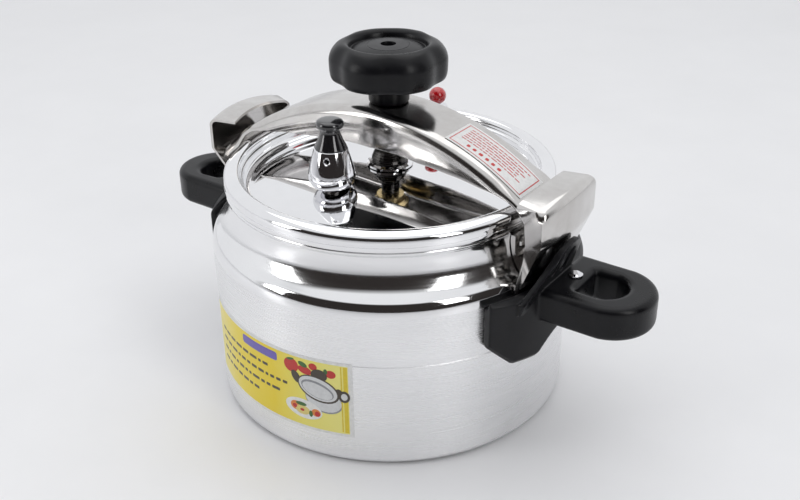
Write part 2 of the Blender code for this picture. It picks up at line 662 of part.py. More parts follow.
def make_knob():
    levels = [(4.5, 216.2, 0), (14.0, 215.4, 0), (21.6, 213.2, 0), (22.9, 216.2, 0), (25.4, 217.8, 0.1),
              (29.4, 216.6, 0.7), (32.6, 213.2, 1.0), (34.2, 209.6, 1.0), (KNOB_R, 206.0, 1.0),
              (34.2, 200.0, 1.0), (33.2, 197.0, 1.0), (31.5, 196.0, 0.9), (12.3, 196.0, 0), (12.0, 182.5, 0),
              (SPINDLE_R + GAP, 182.5, 0), (SPINDLE_R + GAP, 207.0, 0), (4.5, 207.0, 0)]
    loft("knob", [knob_ring(r, z, KNOB_NOTCH * share) for r, z, share in levels], BAKELITE, closed=True)
    tip_z = floor_z(0) + 2.9 + 2.7 + GAP
    turned("spindle", [(0, 206.7), (SPINDLE_R, 206.7), (SPINDLE_R, tip_z + 6.3), (5.2, tip_z + 5.5),
                       (4.1, tip_z + 5.4), (4.1, tip_z + 1.1), (2.8, tip_z), (0, tip_z)], STEEL,
           steps=24)


make_pot()
make_ears()
make_label()
make_handles()
make_gasket()
make_lid()
make_vent()
make_weight()
make_signal()
make_bow()
make_sticker()
make_heads()
make_knob()
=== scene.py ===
"""The looks of the pressure cooker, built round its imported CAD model.

Lengths are in millimetres in the CAD frame: the origin is on the pot's axis at its base, +Z is up
and +X runs along the bow. Angles about the pot's axis are in degrees and start at +X. Each visual
piece is drawn in place, rides on its CAD body and stands for the CAD node of the same shape.
"""
import math
import random

import bmesh
import bpy
from mathutils import Matrix, Vector


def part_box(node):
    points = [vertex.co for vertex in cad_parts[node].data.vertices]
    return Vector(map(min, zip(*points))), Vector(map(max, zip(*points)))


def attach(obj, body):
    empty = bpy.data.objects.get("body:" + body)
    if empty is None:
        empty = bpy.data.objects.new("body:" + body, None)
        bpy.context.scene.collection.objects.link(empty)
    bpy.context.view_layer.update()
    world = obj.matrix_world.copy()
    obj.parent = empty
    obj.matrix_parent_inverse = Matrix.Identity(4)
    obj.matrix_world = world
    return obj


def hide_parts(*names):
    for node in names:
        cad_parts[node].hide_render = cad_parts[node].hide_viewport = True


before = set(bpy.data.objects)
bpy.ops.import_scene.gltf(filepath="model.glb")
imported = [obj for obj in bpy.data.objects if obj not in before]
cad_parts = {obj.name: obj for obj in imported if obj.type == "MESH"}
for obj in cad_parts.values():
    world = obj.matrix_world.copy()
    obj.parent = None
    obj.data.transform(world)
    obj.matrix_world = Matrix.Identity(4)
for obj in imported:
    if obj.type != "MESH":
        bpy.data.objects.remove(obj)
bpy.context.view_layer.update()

MM = 0.001


def low(node):
    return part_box(node)[0] / MM


def high(node):
    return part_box(node)[1] / MM


def middle(node):
    return (low(node) + high(node)) / 2


# Read from the frame
POT_R = high("pot_body").x
RIM_Z = high("pot_body").z
LID_R = high("lid").x
LID_TOP_Z = high("lid").z
BOW_CROWN_Z = high("bow").z
BOW_HALF = high("bow").y
HEAD_R = high("clamp_head_right").x
HEAD_TOP_Z = high("clamp_head_right").z
HANDLE_TIP = high("handle_right").x
KNOB_TOP_Z = high("knob").z
WEIGHT_X, WEIGHT_Y = middle("weight_cap").x, middle("weight_cap").y
WEIGHT_TOP_Z = high("weight_cap").z
SIGNAL_X, SIGNAL_Y, BALL_Z = middle("signal_ball")
BALL_R = high("signal_ball").x - SIGNAL_X
LABEL_LOW_Z, LABEL_HIGH_Z = low("body_label").z, high("body_label").z
FLANGE_Z = high("signal_washer").z + 0.3

# Shapes that the frame doesn't state
TURN_STEPS = 180             # steps round a turned piece
LID_FLOOR_Z = 133.0          # lowest part of the domed floor, round its edge
LID_FLOOR_R = 84.5
LID_DOME = 9.0
LID_SHEET = 2.1
BOW_R = 165.0
BOW_SHEET = 2.0
BOW_EDGE_R = 6.0
BOW_END_DEG = 47.0
BOW_STATIONS = 96
BOW_DEPTH = [(0, 23.0), (40, 20.5), (60, 16.5), (80, 10.5), (88, 6.6), (96, 3.7), (102, 3.6),
             (110, 6.4), (122, 5.4)]
LABEL_START_DEG = -128.2
LABEL_ARC = 120.4            # length of the label along the wall
STICKER_X = (49.0, 98.0)
STICKER_Y = (-15.0, 11.0)
HEAD_KNEE_Z = 133.0
HEAD_FOOT_Z = 101.0
HEAD_FOOT_R = 112.6
HEAD_SHEET = 1.8
HEAD_FRONT = -31.0
HEAD_BACK = 27.0
WRAP_R = 118.0
LEAN = (HEAD_R - 1.1 - HEAD_FOOT_R) / (HEAD_KNEE_Z - 2.0 - HEAD_FOOT_Z)
TONGUE_Y = -8.0
KNOB_LOBES = 6


# ---------------------------------------------------------------- material nodes

def add(tree, kind, inputs=None, **settings):
    """A node, with its settings, and its inputs linked or set."""
    made = tree.nodes.new(kind)
    for name, value in settings.items():
        setattr(made, name, value)
    for name, value in (inputs or {}).items():
        if isinstance(value, bpy.types.NodeSocket):
            tree.links.new(value, made.inputs[name])
        else:
            made.inputs[name].default_value = value
    return made


def place_in(tree, scale):
    """The place on the surface in metres, stretched along each axis."""
    where = add(tree, "ShaderNodeTexCoord").outputs["Object"]
    return add(tree, "ShaderNodeMapping", {"Vector": where, "Scale": scale}).outputs["Vector"]


def noise(tree, scale, detail=4.0):
    inputs = {"Vector": place_in(tree, scale), "Scale": 1.0, "Detail": detail, "Roughness": 0.6}
    return add(tree, "ShaderNodeTexNoise", inputs).outputs["Fac"]


def spread(tree, value, from_low, from_high, to_low, to_high):
    inputs = {"Value": value, "From Min": from_low, "From Max": from_high,
              "To Min": to_low, "To Max": to_high}
    return add(tree, "ShaderNodeMapRange", inputs).outputs["Result"]


def maths(tree, operation, first, second):
    made = add(tree, "ShaderNodeMath", operation=operation)
    for slot_in, value in zip(made.inputs, (first, second)):
        if isinstance(value, bpy.types.NodeSocket):
            tree.links.new(value, slot_in)
        else:
            slot_in.default_value = value
    return made.outputs[0]


def ramp(tree, factor, stops):
    """Colour by factor; stops are (position, (r, g, b))."""
    made = add(tree, "ShaderNodeValToRGB", {"Fac": factor})
    elements = made.color_ramp.elements
    while len(elements) < len(stops):
        elements.new(0.5)
    for element, (position, color) in zip(elements, stops):
        element.position = position
        element.color = (*color, 1.0)
    return made.outputs["Color"]


def bump(tree, height, distance, strength=1.0):
    """Surface relief; distance is in millimetres."""
    inputs = {"Height": height, "Distance": distance * MM, "Strength": strength}
    return add(tree, "ShaderNodeBump", inputs).outputs["Normal"]


def axis_value(tree, axis):
    where = add(tree, "ShaderNodeTexCoord").outputs["Object"]
    return add(tree, "ShaderNodeSeparateXYZ", {"Vector": where}).outputs[axis]


def surface(name, metallic=0.0, **sockets):
    """A new material, its tree and its shader, with the values that are the same all over."""
    mat = bpy.data.materials.new(name)
    mat.use_nodes = True
    shader = mat.node_tree.nodes["Principled BSDF"]
    shader.inputs["Metallic"].default_value = metallic
    for socket, value in sockets.items():
        shader.inputs[socket.replace("_", " ")].default_value = value
    return mat, mat.node_tree, shader


def wire(tree, value, shader, socket):
    tree.links.new(value, shader.inputs[socket])


def satin_aluminium():
    """Turned and brushed round the pot: satin wall, polished bead, finely brushed neck."""
    mat, tree, shader = surface("satin_aluminium", 1.0, Anisotropic=0.55)
    streaks = noise(tree, (6, 6, 2600), 6.0)
    patches = noise(tree, (14, 14, 30))
    by_height = ramp(tree, spread(tree, axis_value(tree, "Z"), 0.0, RIM_Z * MM, 0.0, 1.0), [
        (0.0, (0.34,) * 3), (0.05, (0.30,) * 3), (0.735, (0.27,) * 3), (0.752, (0.07,) * 3),
        (0.80, (0.06,) * 3), (0.835, (0.12,) * 3), (1.0, (0.10,) * 3)])
    streaked = maths(tree, "MULTIPLY", by_height, spread(tree, streaks, 0.3, 0.7, 0.75, 1.3))
    wire(tree, streaked, shader, "Roughness")
    wire(tree, ramp(tree, patches, [(0.3, (0.83, 0.83, 0.84)), (0.7, (0.90, 0.90, 0.905))]), shader,
         "Base Color")
    wire(tree, bump(tree, streaks, 0.012, 0.5), shader, "Normal")
    round_pot = add(tree, "ShaderNodeTangent", direction_type="RADIAL", axis="Z").outputs[0]
    wire(tree, round_pot, shader, "Tangent")
    return mat


def mirror_aluminium():
    """Polished lid with faint turning rings and smudges."""
    mat, tree, shader = surface("mirror_aluminium", 1.0)
    where = add(tree, "ShaderNodeTexCoord").outputs["Object"]
    flat = add(tree, "ShaderNodeVectorMath", {0: where, 1: (1.0, 1.0, 0.0)}, operation="MULTIPLY").outputs[0]
    radius = add(tree, "ShaderNodeVectorMath", {0: flat}, operation="LENGTH").outputs["Value"]
    inputs = {"W": radius, "Scale": 2200.0, "Detail": 3.0}
    rings = add(tree, "ShaderNodeTexNoise", inputs, noise_dimensions="1D").outputs["Fac"]
    smudges = noise(tree, (30, 30, 30))
    wire(tree, spread(tree, smudges, 0.35, 0.75, 0.025, 0.075), shader, "Roughness")
    wire(tree, ramp(tree, smudges, [(0.3, (0.90, 0.90, 0.91)), (0.8, (0.84, 0.84, 0.85))]), shader,
         "Base Color")
    wire(tree, bump(tree, rings, 0.002, 0.35), shader, "Normal")
    return mat


def polished_steel():
    """Pressed stainless sheet: slightly wavy, with fine scratches and smudges."""
    mat, tree, shader = surface("polished_steel", 1.0)
    wave = noise(tree, (38, 38, 38), 2.0)
    scratches = noise(tree, (90, 1900, 900), 5.0)
    smudges = noise(tree, (60, 60, 60))
    wire(tree, spread(tree, smudges, 0.3, 0.75, 0.10, 0.22), shader, "Roughness")
    wire(tree, ramp(tree, smudges, [(0.3, (0.66, 0.645, 0.63)), (0.75, (0.55, 0.53, 0.51))]), shader,
         "Base Color")
    relief = maths(tree, "ADD", maths(tree, "MULTIPLY", wave, 24.0), scratches)
    wire(tree, bump(tree, relief, 0.01, 0.6), shader, "Normal")
    return mat


def chrome():
    mat, tree, shader = surface("bright_chrome", 1.0)
    smudges = noise(tree, (120, 120, 120))
    wire(tree, spread(tree, smudges, 0.3, 0.8, 0.03, 0.09), shader, "Roughness")
    wire(tree, ramp(tree, smudges, [(0.3, (0.83, 0.83, 0.85)), (0.8, (0.74, 0.74, 0.76))]), shader,
         "Base Color")
    return mat


def dark_steel():
    """Oiled and blackened steel of the screw and its foot."""
    mat, tree, shader = surface("dark_steel", 1.0)
    streaks = noise(tree, (60, 60, 1200), 5.0)
    wire(tree, spread(tree, streaks, 0.3, 0.7, 0.16, 0.34), shader, "Roughness")
    wire(tree, ramp(tree, streaks, [(0.3, (0.045, 0.043, 0.042)), (0.7, (0.12, 0.115, 0.11))]), shader,
         "Base Color")
    return mat


def brass():
    mat, tree, shader = surface("turned_brass", 1.0)
    streaks = noise(tree, (20, 20, 2400), 5.0)
    wire(tree, spread(tree, streaks, 0.3, 0.7, 0.18, 0.36), shader, "Roughness")
    wire(tree, ramp(tree, streaks, [(0.3, (0.70, 0.54, 0.27)), (0.7, (0.78, 0.62, 0.33))]), shader,
         "Base Color")
    return mat


def bakelite():
    """Black moulding: orange-peel skin, paler where handled, with a few bright specks."""
    mat, tree, shader = surface("black_bakelite", 0.0, Specular_IOR_Level=0.26)
    peel = noise(tree, (700, 700, 700), 3.0)
    wear = noise(tree, (45, 45, 45), 6.0)
    specks = noise(tree, (1500, 1500, 1500), 1.0)
    body = ramp(tree, wear, [(0.35, (0.003, 0.003, 0.004)), (0.75, (0.009, 0.009, 0.011))])
    speck = ramp(tree, specks, [(0.78, (0.0, 0.0, 0.0)), (0.82, (0.05, 0.05, 0.055))])
    both = add(tree, "ShaderNodeVectorMath", {0: body, 1: speck}, operation="ADD").outputs[0]
    wire(tree, both, shader, "Base Color")
    wire(tree, spread(tree, wear, 0.3, 0.75, 0.24, 0.42), shader, "Roughness")
    wire(tree, bump(tree, peel, 0.02, 0.5), shader, "Normal")
    return mat


def glossy_bakelite():
    """The weight's polished black grip."""
    mat, tree, shader = surface("glossy_bakelite", 0.0, Coat_Weight=1.0, Coat_Roughness=0.05)
    wear = noise(tree, (90, 90, 90), 5.0)
    wire(tree, ramp(tree, wear, [(0.35, (0.006, 0.006, 0.007)), (0.75, (0.016, 0.016, 0.018))]), shader,
         "Base Color")
    wire(tree, spread(tree, wear, 0.3, 0.75, 0.08, 0.20), shader, "Roughness")
    return mat


def rubber():
    mat, tree, shader = surface("gasket_rubber")
    grain = noise(tree, (500, 500, 500), 5.0)
    wire(tree, ramp(tree, grain, [(0.3, (0.24, 0.24, 0.25)), (0.7, (0.33, 0.33, 0.34))]), shader,
         "Base Color")
    wire(tree, spread(tree, grain, 0.3, 0.7, 0.55, 0.72), shader, "Roughness")
    wire(tree, bump(tree, grain, 0.03, 0.6), shader, "Normal")
    return mat


def red_gloss():
    mat, tree, shader = surface("red_gloss", 0.0, Coat_Weight=1.0, Coat_Roughness=0.04)
    depth = noise(tree, (260, 260, 260), 3.0)
    wire(tree, ramp(tree, depth, [(0.3, (0.36, 0.004, 0.008)), (0.75, (0.62, 0.012, 0.018))]), shader,
         "Base Color")
    wire(tree, spread(tree, depth, 0.3, 0.7, 0.10, 0.22), shader, "Roughness")
    return mat


def ink(name, color):
    """Coated print, slightly uneven."""
    mat, tree, shader = surface(name, 0.0, Coat_Weight=0.25, Coat_Roughness=0.2)
    grain = noise(tree, (420, 420, 420), 4.0)
    darker = tuple(value * 0.86 for value in color)
    wire(tree, ramp(tree, grain, [(0.3, darker), (0.7, color)]), shader, "Base Color")
    wire(tree, spread(tree, grain, 0.3, 0.7, 0.30, 0.42), shader, "Roughness")
    return mat


def label_ground():
    """Golden print that pales towards the label's right end."""
    mat, tree, shader = surface("label_ground", 0.0, Coat_Weight=0.25, Coat_Roughness=0.2)
    along = spread(tree, axis_value(tree, "X"), -0.068, 0.045, 0.0, 1.0)
    uneven = maths(tree, "ADD", along, spread(tree, noise(tree, (25, 25, 25)), 0.0, 1.0, -0.06, 0.06))
    color = ramp(tree, uneven, [(0.0, (0.83, 0.72, 0.16)), (0.28, (0.86, 0.68, 0.02)),
                                (0.55, (0.86, 0.66, 0.015)), (0.78, (0.86, 0.78, 0.17)),
                                (1.0, (0.88, 0.82, 0.26))])
    wire(tree, color, shader, "Base Color")
    wire(tree, spread(tree, noise(tree, (300, 300, 300)), 0.3, 0.7, 0.30, 0.42), shader, "Roughness")
    return mat


def table_top():
    mat, tree, shader = surface("pale_table", 0.0)
    mottle = noise(tree, (9, 9, 9), 6.0)
    wire(tree, ramp(tree, mottle, [(0.3, (0.79, 0.79, 0.80)), (0.7, (0.82, 0.82, 0.83))]), shader,
         "Base Color")
    wire(tree, spread(tree, mottle, 0.3, 0.7, 0.34, 0.42), shader, "Roughness")
    return mat


# ---------------------------------------------------------------- mesh helpers

def mesh_object(name, bm, mats, sharp=35.0):
    """Ends a bmesh drawn in millimetres as an object in metres, with its faces turned outwards."""
    bm.normal_update()
    if bm.calc_volume(signed=True) < 0:
        bmesh.ops.reverse_faces(bm, faces=bm.faces)
    bm.transform(Matrix.Scale(MM, 4))
    mesh = bpy.data.meshes.new(name)
    bm.to_mesh(mesh)
    bm.free()
    mesh.shade_smooth()
    mesh.set_sharp_from_angle(angle=math.radians(sharp))
    obj = bpy.data.objects.new(name, mesh)
    bpy.context.scene.collection.objects.link(obj)
    for mat in mats:
        mesh.materials.append(mat)
    return obj


def settle(obj, body, slot, *nodes):
    """The piece rides on its body and stands for its CAD nodes; its slot argument is not used."""
    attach(obj, body)
    if nodes:
        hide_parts(*nodes)
    return obj


def smooth(points, spans=4):
    """A Catmull-Rom curve through points of any dimension, with each span cut in parts."""
    padded = [points[0], *points, points[-1]]
    curve = []
    for before, start, end, after in zip(padded, padded[1:], padded[2:], padded[3:]):
        for i in range(spans):
            t = i / spans
            curve.append(tuple(
                0.5 * (2 * b + (c - a) * t + (2 * a - 5 * b + 4 * c - d) * t ** 2
                       + (3 * b - a - 3 * c + d) * t ** 3)
                for a, b, c, d in zip(before, start, end, after)))
    return curve + [tuple(points[-1])]


def arc(centre, radius, start, end, steps):
    points = []
    for i in range(steps + 1):
        angle = math.radians(start + (end - start) * i / steps)
        points.append((centre[0] + radius * math.cos(angle), centre[1] + radius * math.sin(angle)))
    return points


def bridge(bm, first, second):
    """Faces between two rings of points, either of which may be a single point."""
    count = max(len(first), len(second))
    for i in range(count):
        j = (i + 1) % count
        corners = [first[i % len(first)], first[j % len(first)],
                   second[j % len(second)], second[i % len(second)]]
        bm.faces.new(list(dict.fromkeys(corners)))


def turned(name, profile, mat, at=(0.0, 0.0), steps=TURN_STEPS, ring=False):
    """Turns (radius, z) points about a vertical axis."""
    bm = bmesh.new()
    rings = []
    for radius, z in profile:
        count = steps if radius > 0.001 else 1
        turns = [2 * math.pi * i / steps for i in range(count)]
        rings.append([bm.verts.new((at[0] + radius * math.cos(turn), at[1] + radius * math.sin(turn), z))
                      for turn in turns])
    for first, second in zip(rings, rings[1:]):
        bridge(bm, first, second)
    if ring:
        bridge(bm, rings[-1], rings[0])
    return mesh_object(name, bm, [mat])


def skin(name, sections, mats, closed=False):
    """Skins a list of sections, each a closed outline of (x, y, z)."""
    bm = bmesh.new()
    rings = [[bm.verts.new(point) for point in section] for section in sections]
    for first, second in zip(rings, rings[1:]):
        bridge(bm, first, second)
    if closed:
        bridge(bm, rings[-1], rings[0])
    else:
        bm.faces.new(rings[0][::-1])
        bm.faces.new(rings[-1])
    return mesh_object(name, bm, mats)


def polar(radius, degrees, z):
    angle = math.radians(degrees)
    return (radius * math.cos(angle), radius * math.sin(angle), z)


def sector(name, profile_at, start, end, steps, mats):
    angles = [start + (end - start) * i / steps for i in range(steps + 1)]
    return skin(name, [[polar(r, deg, z) for r, z in profile_at(deg)] for deg in angles], mats)


def boolean(obj, other, operation="DIFFERENCE"):
    modifier = obj.modifiers.new(operation.lower(), "BOOLEAN")
    modifier.operation = operation
    modifier.object = other
    modifier.solver = "EXACT"


def applied(obj, *helpers):
    """Makes the modifiers' result the object's own mesh and removes the helper objects."""
    bpy.context.view_layer.update()
    graph = bpy.context.evaluated_depsgraph_get()
    mesh = bpy.data.meshes.new_from_object(obj.evaluated_get(graph))
    obj.modifiers.clear()
    obj.data = mesh
    for helper in helpers:
        bpy.data.objects.remove(helper)
    return obj


def half_turned(obj, name):
    """A copy on the other side of the pot, with its place in its own mesh."""
    mesh = obj.data.copy()
    mesh.transform(Matrix.Rotation(math.pi, 4, "Z"))
    copy = bpy.data.objects.new(name, mesh)
    bpy.context.scene.collection.objects.link(copy)
    return copy


# ---------------------------------------------------------------- pot and lid

def make_pot(mat):
    inner = [(0, 4.0), (101.0, 4.0)] + arc((101.0, 10.4), 6.4, -80, 0, 8)
    inner += [(107.4, 60.0), (107.4, 99.0)]
    inner += smooth([(107.3, 100.5), (104.6, 106.0), (100.9, 110.0), (98.3, 113.5), (96.6, 118.0),
                     (95.7, 123.0), (95.5, 130.0), (95.6, RIM_Z - 0.5)], 4)
    rim = [(95.9, RIM_Z), (99.6, RIM_Z), (99.9, RIM_Z - 0.4), (99.7, 131.4)]
    neck = smooth([(98.6, 130.2), (98.1, 127.0), (98.4, 123.0), (99.4, 118.5), (101.0, 114.5),
                   (103.4, 111.0), (106.0, 108.5), (107.9, 106.6), (109.2, 103.6), (109.85, 100.8),
                   (POT_R, 98.6), (POT_R, 96.0)], 6)
    groove = [(POT_R, 68.3), (POT_R - 0.16, 68.1), (POT_R - 0.16, 67.9), (POT_R, 67.7)]
    foot = arc((POT_R - 5.5, 5.5), 5.5, 0, -90, 12)
    base = [(92.0, 0.0), (90.0, 0.5), (0, 0.5)]
    return turned("pot_shell", inner + rim + neck + groove + foot + base, mat)


def floor_z(radius):
    """Top of the lid's domed floor at a distance from its middle."""
    return LID_FLOOR_Z + LID_DOME * (1.0 - (radius / LID_FLOOR_R) ** 2)


def make_lid(mat):
    radii = [LID_FLOOR_R * i / 36 for i in range(37)]
    dish = [(radius, floor_z(radius)) for radius in radii]
    dish += smooth([(85.3, 133.05), (87.2, 133.7), (88.4, 135.4), (88.8, 138.0)], 5)
    dish += smooth([(89.1, 138.7), (90.1, 139.6), (90.6, 142.2), (91.6, 143.7), (93.4, LID_TOP_Z),
                    (96.0, 144.1), (98.2, 143.2), (99.7, 141.8), (LID_R, 139.8), (LID_R, 138.6)], 5)
    band = [(LID_R, 137.4), (LID_R - 0.35, 137.2), (LID_R - 0.35, 136.6), (LID_R, 136.4), (LID_R, 134.2),
            (LID_R - 0.4, 133.6), (98.8, 133.6), (98.4, 134.0), (98.4, 140.6), (97.4, 141.7), (95.4, 142.2),
            (93.8, 141.8), (93.0, 140.8), (93.0, 139.0), (91.2, 137.6), (90.9, 134.4), (89.0, 131.8)]
    under = [(radius, floor_z(radius) - LID_SHEET) for radius in reversed(radii)]
    return turned("lid_shell", dish + band + under, mat)


def add_bevel(node, width, segments=3):
    """Rounds a CAD node's hard edges."""
    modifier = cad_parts[node].modifiers.new("edges", "BEVEL")
    modifier.width = width * MM
    modifier.segments = segments
    modifier.limit_method = "ANGLE"
    modifier.angle_limit = math.radians(40)


def make_weight(chrome_mat, grip_mat):
    at = (WEIGHT_X, WEIGHT_Y)
    body = [(0, 165.0), (9.2, 165.0)] + smooth([(9.7, 164.7), (10.1, 163.6), (11.8, 157.5), (13.2, 151.8),
                                                 (13.6, 149.6)], 5)
    body += [(13.35, 149.3), (13.35, 149.0)]
    body += smooth([(13.75, 148.7), (13.6, 146.2), (12.5, 143.4), (10.4, 141.5), (8.6, 141.0)], 6)
    body += [(6.2, 141.0), (6.2, 143.0), (5.0, 144.2), (5.0, 161.5), (0, 161.5)]
    shell = turned("weight_shell", body, chrome_mat, at, 120)
    bm = bmesh.new()
    turn = Matrix.Rotation(math.radians(-65), 4, "Z") @ Matrix.Rotation(math.pi / 2, 4, "Y")
    bmesh.ops.create_cone(bm, cap_ends=True, segments=32, radius1=1.7, radius2=1.7, depth=18.0,
                          matrix=Matrix.Translation((*at, 160.2)) @ turn @ Matrix.Translation((0, 0, 11.0)))
    drill = mesh_object("drill", bm, [])
    boolean(shell, drill)
    applied(shell, drill)
    settle(shell, "weight", "chrome", "weight_body")
    top = WEIGHT_TOP_Z
    cap = [(0, top)] + smooth([(3.0, top), (5.8, top - 0.2), (7.4, top - 0.9), (8.1, top - 2.4),
                               (7.7, top - 4.2), (6.3, top - 5.2), (5.7, top - 6.4), (5.9, top - 8.2),
                               (7.3, top - 12.0), (9.2, top - 16.0)], 5)
    cap += [(9.4, top - 16.4), (9.3, 165.3), (0, 165.3)]
    settle(turned("weight_grip", cap, grip_mat, at, 120), "weight", "black_bakelite", "weight_cap")


def make_signal(chrome_mat, red_mat):
    at = (SIGNAL_X, SIGNAL_Y)
    housing = [(2.4, 158.2), (4.3, 158.2)] + smooth([(4.6, 158.0), (5.4, 156.6), (5.4, 150.0),
                                               (5.4, FLANGE_Z + 3.2)], 3)
    housing += [(8.0, FLANGE_Z + 2.3), (8.2, FLANGE_Z + 2.0), (8.2, FLANGE_Z), (5.0, FLANGE_Z),
                (5.0, 124.2), (2.4, 124.2)]
    settle(turned("signal_tube", housing, chrome_mat, at, 72, ring=True), "lid", "chrome",
           "signal_housing")
    pin = [(0, 161.0), (5.2, 161.0), (6.1, 160.6), (6.3, 160.0), (6.1, 159.4), (4.6, 158.5), (2.0, 158.5),
           (2.0, 117.4), (0, 117.0)]
    settle(turned("signal_stem", pin, chrome_mat, at, 72), "signal", "chrome", "signal_pin")
    ball = [(0, BALL_Z + BALL_R)]
    ball += [(BALL_R * math.cos(math.radians(a)), BALL_Z + BALL_R * math.sin(math.radians(a)))
             for a in range(84, -85, -6)]
    ball += [(0, BALL_Z - BALL_R)]
    settle(turned("signal_bead", ball, red_mat, at, 72), "signal", "red_ball", "signal_ball")


# ---------------------------------------------------------------- bow and clamp heads

def bow_depth(x):
    """Height of the bow's side walls at a distance from the crown."""
    for (x0, d0), (x1, d1) in zip(BOW_DEPTH, BOW_DEPTH[1:]):
        if abs(x) <= x1:
            t = (abs(x) - x0) / (x1 - x0)
            return d0 + (d1 - d0) * t
    return BOW_DEPTH[-1][1]


def bow_section(deg):
    """Inverted channel, square to the arch; its walls spread where they run into the heads."""
    angle = math.radians(deg)
    x = BOW_R * math.sin(angle)
    depth = bow_depth(x)
    half, sheet = BOW_HALF - 0.2, BOW_SHEET
    edge = min(BOW_EDGE_R, depth - 1.0)
    crown = 0.5 * math.cos(math.pi * min(1.0, abs(deg) / BOW_END_DEG) / 2)
    top = [(y, -0.9 * crown * (abs(y) / half) ** 2) for y in (0.0, 5.0, 10.0)]
    outline = top + [(y, down - 0.9 * crown * 0.5) for y, down in arc((half - edge, -edge), edge, 90, 0, 10)]
    outline += [(half, -depth + 0.7), (half - 0.3, -depth + 0.15), (half - 0.9, -depth)]
    outline += [(half - sheet + 0.3, -depth), (half - sheet, -depth + 0.5)]
    outline += [(y, down - 0.45 * crown) for y, down in arc((half - edge, -edge), edge - sheet, 0, 90, 6)]
    outline += [(10.0, -sheet - 0.3 * crown), (5.0, -sheet - 0.1 * crown), (0.0, -sheet)]
    mirrored = [(-y, down) for y, down in outline[-2:0:-1]]
    points = []
    for y, down in outline + mirrored:
        radius = BOW_R + down
        points.append((radius * math.sin(angle), y, BOW_CROWN_Z - BOW_R + radius * math.cos(angle)))
    return points


def make_bow(mat):
    angles = [BOW_END_DEG * (2 * i / BOW_STATIONS - 1) for i in range(BOW_STATIONS + 1)]
    arch = skin("bow_arch", [bow_section(deg) for deg in angles], [mat])
    return settle(arch, "bow", "polished_steel", "bow")


def flat_block(name, outline, start, end, steps, edge, segments=4):
    """A prism in unrolled form: x is the radius, y runs along the arc, with its start edge rounded."""
    bm = bmesh.new()
    past_edge = start + edge + 1.0
    stations = [start] + [past_edge + (end - past_edge) * i / steps for i in range(steps + 1)]
    rings = [[bm.verts.new((radius, y, z)) for radius, z in outline] for y in stations]
    for first, second in zip(rings, rings[1:]):
        bridge(bm, first, second)
    front = bm.faces.new(rings[0][::-1])
    bm.faces.new(rings[-1])
    if edge:
        bmesh.ops.bevel(bm, geom=list(front.edges), offset=edge, segments=segments, profile=0.5,
                        affect="EDGES", clamp_overlap=True)
    return mesh_object(name, bm, [])


def head_outline(inset):
    """Side view of a head: top plate, rounded corner, upright plate and leaning foot."""
    top = HEAD_TOP_Z - inset
    out = HEAD_R - inset
    corner = arc((HEAD_R - 5.5, HEAD_TOP_Z - 5.5), 5.5 - inset, 90, 0, 6)
    low_z = 94.0 if inset == 0 else 90.0
    low_r = HEAD_FOOT_R - inset - 0.1 * (inset > 0) + LEAN * (low_z - HEAD_FOOT_Z)
    in_r = 94.0 if inset == 0 else 88.0
    knee = smooth([(out, HEAD_KNEE_Z + 1.5), (out - 0.3, HEAD_KNEE_Z), (out - 1.1, HEAD_KNEE_Z - 2.0)], 3)
    return [(in_r, top)] + corner + [(out, 144.0), (out, 139.0)] + knee + [
        (low_r + LEAN * 26, low_z + 26), (low_r + LEAN * 13, low_z + 13), (low_r, low_z), (in_r, low_z)]


def wrap_head(mesh):
    """Rolls the flat head round the pot, spreads its closed side and tapers its open side."""
    for vert in mesh.vertices:
        radius, along, z = (value / MM for value in vert.co)
        down = min(1.0, max(0.0, (HEAD_KNEE_Z - z) / (HEAD_KNEE_Z - HEAD_FOOT_Z)))
        up = min(1.0, max(0.0, (z - HEAD_KNEE_Z) / (HEAD_TOP_Z - HEAD_KNEE_Z)))
        along *= 1.0 - 0.40 * down if along > 0 else 1.0 + 0.10 * down
        z -= 3.5 * up * (along / 28.0) ** 2
        angle = along / WRAP_R
        vert.co = (radius * math.cos(angle) * MM, radius * math.sin(angle) * MM, z * MM)


def make_heads(mat):
    block = flat_block("hood_right", head_outline(0), HEAD_FRONT, HEAD_BACK + 9.0, 22, 4.5)
    hollow = flat_block("hollow", head_outline(HEAD_SHEET), HEAD_FRONT + HEAD_SHEET,
                        HEAD_BACK + 18.0, 24, 3.0)
    free_edge = [(80, 165), (106.5, 165), (106.5, 152.5), (112.6, 147), (114.4, 131),
                 (HEAD_FOOT_R - 2.1, 101), (140, HEAD_FOOT_Z), (140, 88), (80, 88)]
    trim = flat_block("trim", free_edge, HEAD_FRONT - 12, HEAD_BACK + 22, 1, 0)
    past_end = [(80, 170), (140, 170), (140, 80), (80, 80)]
    end = flat_block("end", past_end, HEAD_BACK, HEAD_BACK + 30, 1, 0)
    for cutter in (hollow, trim, end):
        boolean(block, cutter)
    applied(block, hollow, trim, end)
    bm = bmesh.new()
    bm.from_mesh(block.data)
    bmesh.ops.triangulate(bm, faces=bm.faces)
    bm.to_mesh(block.data)
    bm.free()
    wrap_head(block.data)
    block.data.materials.clear()
    block.data.materials.append(mat)
    block.data.shade_smooth()
    block.data.set_sharp_from_angle(angle=math.radians(32))
    left = half_turned(block, "hood_left")
    settle(block, "bow", "polished_steel", "clamp_head_right")
    settle(left, "bow", "polished_steel", "clamp_head_left")


# ---------------------------------------------------------------- knob

def knob_ring(radius, z, depth):
    """One level of the knob; depth is how far the finger notches cut in."""
    points = []
    for i in range(TURN_STEPS):
        angle = 2 * math.pi * i / TURN_STEPS
        wave = (1 + math.cos(KNOB_LOBES * (angle - math.radians(5.0)))) / 2
        r = radius - depth * wave ** 2
        points.append((r * math.cos(angle), r * math.sin(angle), z))
    return points


